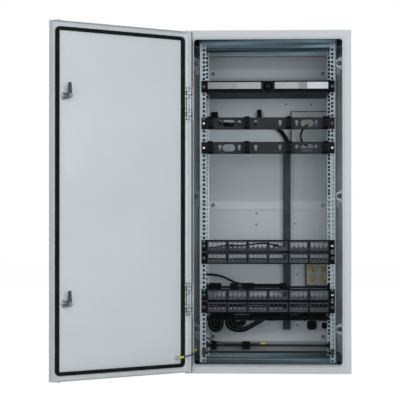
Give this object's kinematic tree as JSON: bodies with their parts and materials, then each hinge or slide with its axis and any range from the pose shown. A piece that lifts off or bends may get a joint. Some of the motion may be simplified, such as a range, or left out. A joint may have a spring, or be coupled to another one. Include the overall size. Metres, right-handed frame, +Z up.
{
  "type": "network utility cabinet",
  "caption": "Upright sheet-steel network cabinet with a left-hung door, quarter-turn locks and a perforated equipment rack that holds a power unit, cable managers and patch panels.",
  "frame": {"origin": "centre of the shell's base, on the floor", "axes": "+X to the right across the front, +Y to the rear, +Z up"},
  "size_m": [1.0225, 0.9044, 1.22],
  "materials": {
    "shell_paint": "textured light grey powder coat",
    "plate_paint": "grey paint, satin",
    "galvanised_sheet": "galvanised sheet",
    "rail_zinc": "blue-grey zinc plate",
    "frame_zinc": "blue-grey zinc plate",
    "fastener_steel": "bright zinc plate",
    "black_metal": "black powder coat",
    "panel_metal": "dark grey powder coat",
    "silver_trim": "satin anodised",
    "grey_label": "bare grey plate",
    "white_label": "bare white plate",
    "gloss_black": "gloss black",
    "black_nylon": "moulded black, satin",
    "trunk_plastic": "dark grey moulding",
    "box_plastic": "dark grey moulding",
    "ivory_plastic": "ivory moulding",
    "cable_jacket": "black jacket",
    "earth_jacket": "green and yellow jacket",
    "seal_foam": "foamed black seal",
    "plug_rubber": "moulded dark rubber",
    "hinge_zinc": "zinc alloy",
    "pin_steel": "bright steel",
    "lock_chrome": "satin chrome",
    "cam_steel": "zinc plate"
  },
  "bodies": {
    "cabinet": {"bar_cable": "cable_jacket", "box_lead": "cable_jacket", "bracket_bolts": "fastener_steel", "cabinet_body": "shell_paint", "cable_clamps": "black_nylon", "cable_trunk": "trunk_plastic", "cage_nuts": "fastener_steel", "cross_members": "frame_zinc", "depth_stays": "frame_zinc", "door_earth_lead": "earth_jacket", "earth_lead": "earth_jacket", "front_lacing_bar": "black_metal", "front_left_rail": "rail_zinc", "front_right_rail": "rail_zinc", "gland_plate": "galvanised_sheet", "gland_screws": "fastener_steel", "lower_cable_manager": "black_metal", "lower_hinge_frame_leaf": "hinge_zinc", "manager_rings": "black_nylon", "mounting_plate": "plate_paint", "patch_faceplates": "black_nylon", "patch_panel_1": "panel_metal", "patch_panel_2": "panel_metal", "patch_panel_3": "panel_metal", "patch_panel_4": "panel_metal", "power_unit_chassis": "black_metal", "power_unit_dome": "gloss_black", "power_unit_grey_labels": "grey_label", "power_unit_trims": "silver_trim", "power_unit_white_label": "white_label", "rack_screws": "fastener_steel", "rear_box": "box_plastic", "rear_lacing_bars": "black_metal", "rear_left_rail": "rail_zinc", "rear_right_rail": "rail_zinc", "receptacle_box": "galvanised_sheet", "receptacle_cover": "galvanised_sheet", "receptacles": "ivory_plastic", "riser_cable": "cable_jacket", "side_brackets": "frame_zinc", "slack_cables": "cable_jacket", "strain_relief_bar": "black_metal", "strap_nuts": "fastener_steel", "support_straps": "plate_paint", "upper_cable_manager": "black_metal", "upper_hinge_frame_leaf": "hinge_zinc", "wall_earth_stud": "fastener_steel"},
    "door": {"door_panel": "shell_paint", "door_gasket": "seal_foam", "door_plugs": "plug_rubber", "door_earth_stud": "fastener_steel", "upper_hinge_door_leaf": "hinge_zinc", "lower_hinge_door_leaf": "hinge_zinc", "hinge_pins": "pin_steel", "lock_housings": "lock_chrome", "lock_nuts": "fastener_steel"},
    "upper_lock": {"upper_lock_core": "lock_chrome", "upper_lock_cam": "cam_steel"},
    "lower_lock": {"lower_lock_core": "lock_chrome", "lower_lock_cam": "cam_steel"}
  },
  "joints": [
    {"name": "door_hinge", "type": "hinge", "parent": "cabinet", "child": "door", "pos_m": [-0.284, -0.2685, 0.61], "axis": [0, 0, 1], "range_deg": [0, 139.5], "deforming": ["door_earth_lead"]},
    {"name": "upper_lock_turn", "type": "hinge", "parent": "door", "child": "upper_lock", "pos_m": [-0.68265, -0.5978, 0.961], "axis": [0.6494, -0.7604, 0], "range_deg": [0, 90]},
    {"name": "lower_lock_turn", "type": "hinge", "parent": "door", "child": "lower_lock", "pos_m": [-0.68265, -0.5978, 0.266], "axis": [0.6494, -0.7604, 0], "range_deg": [0, 90]}
  ]
}
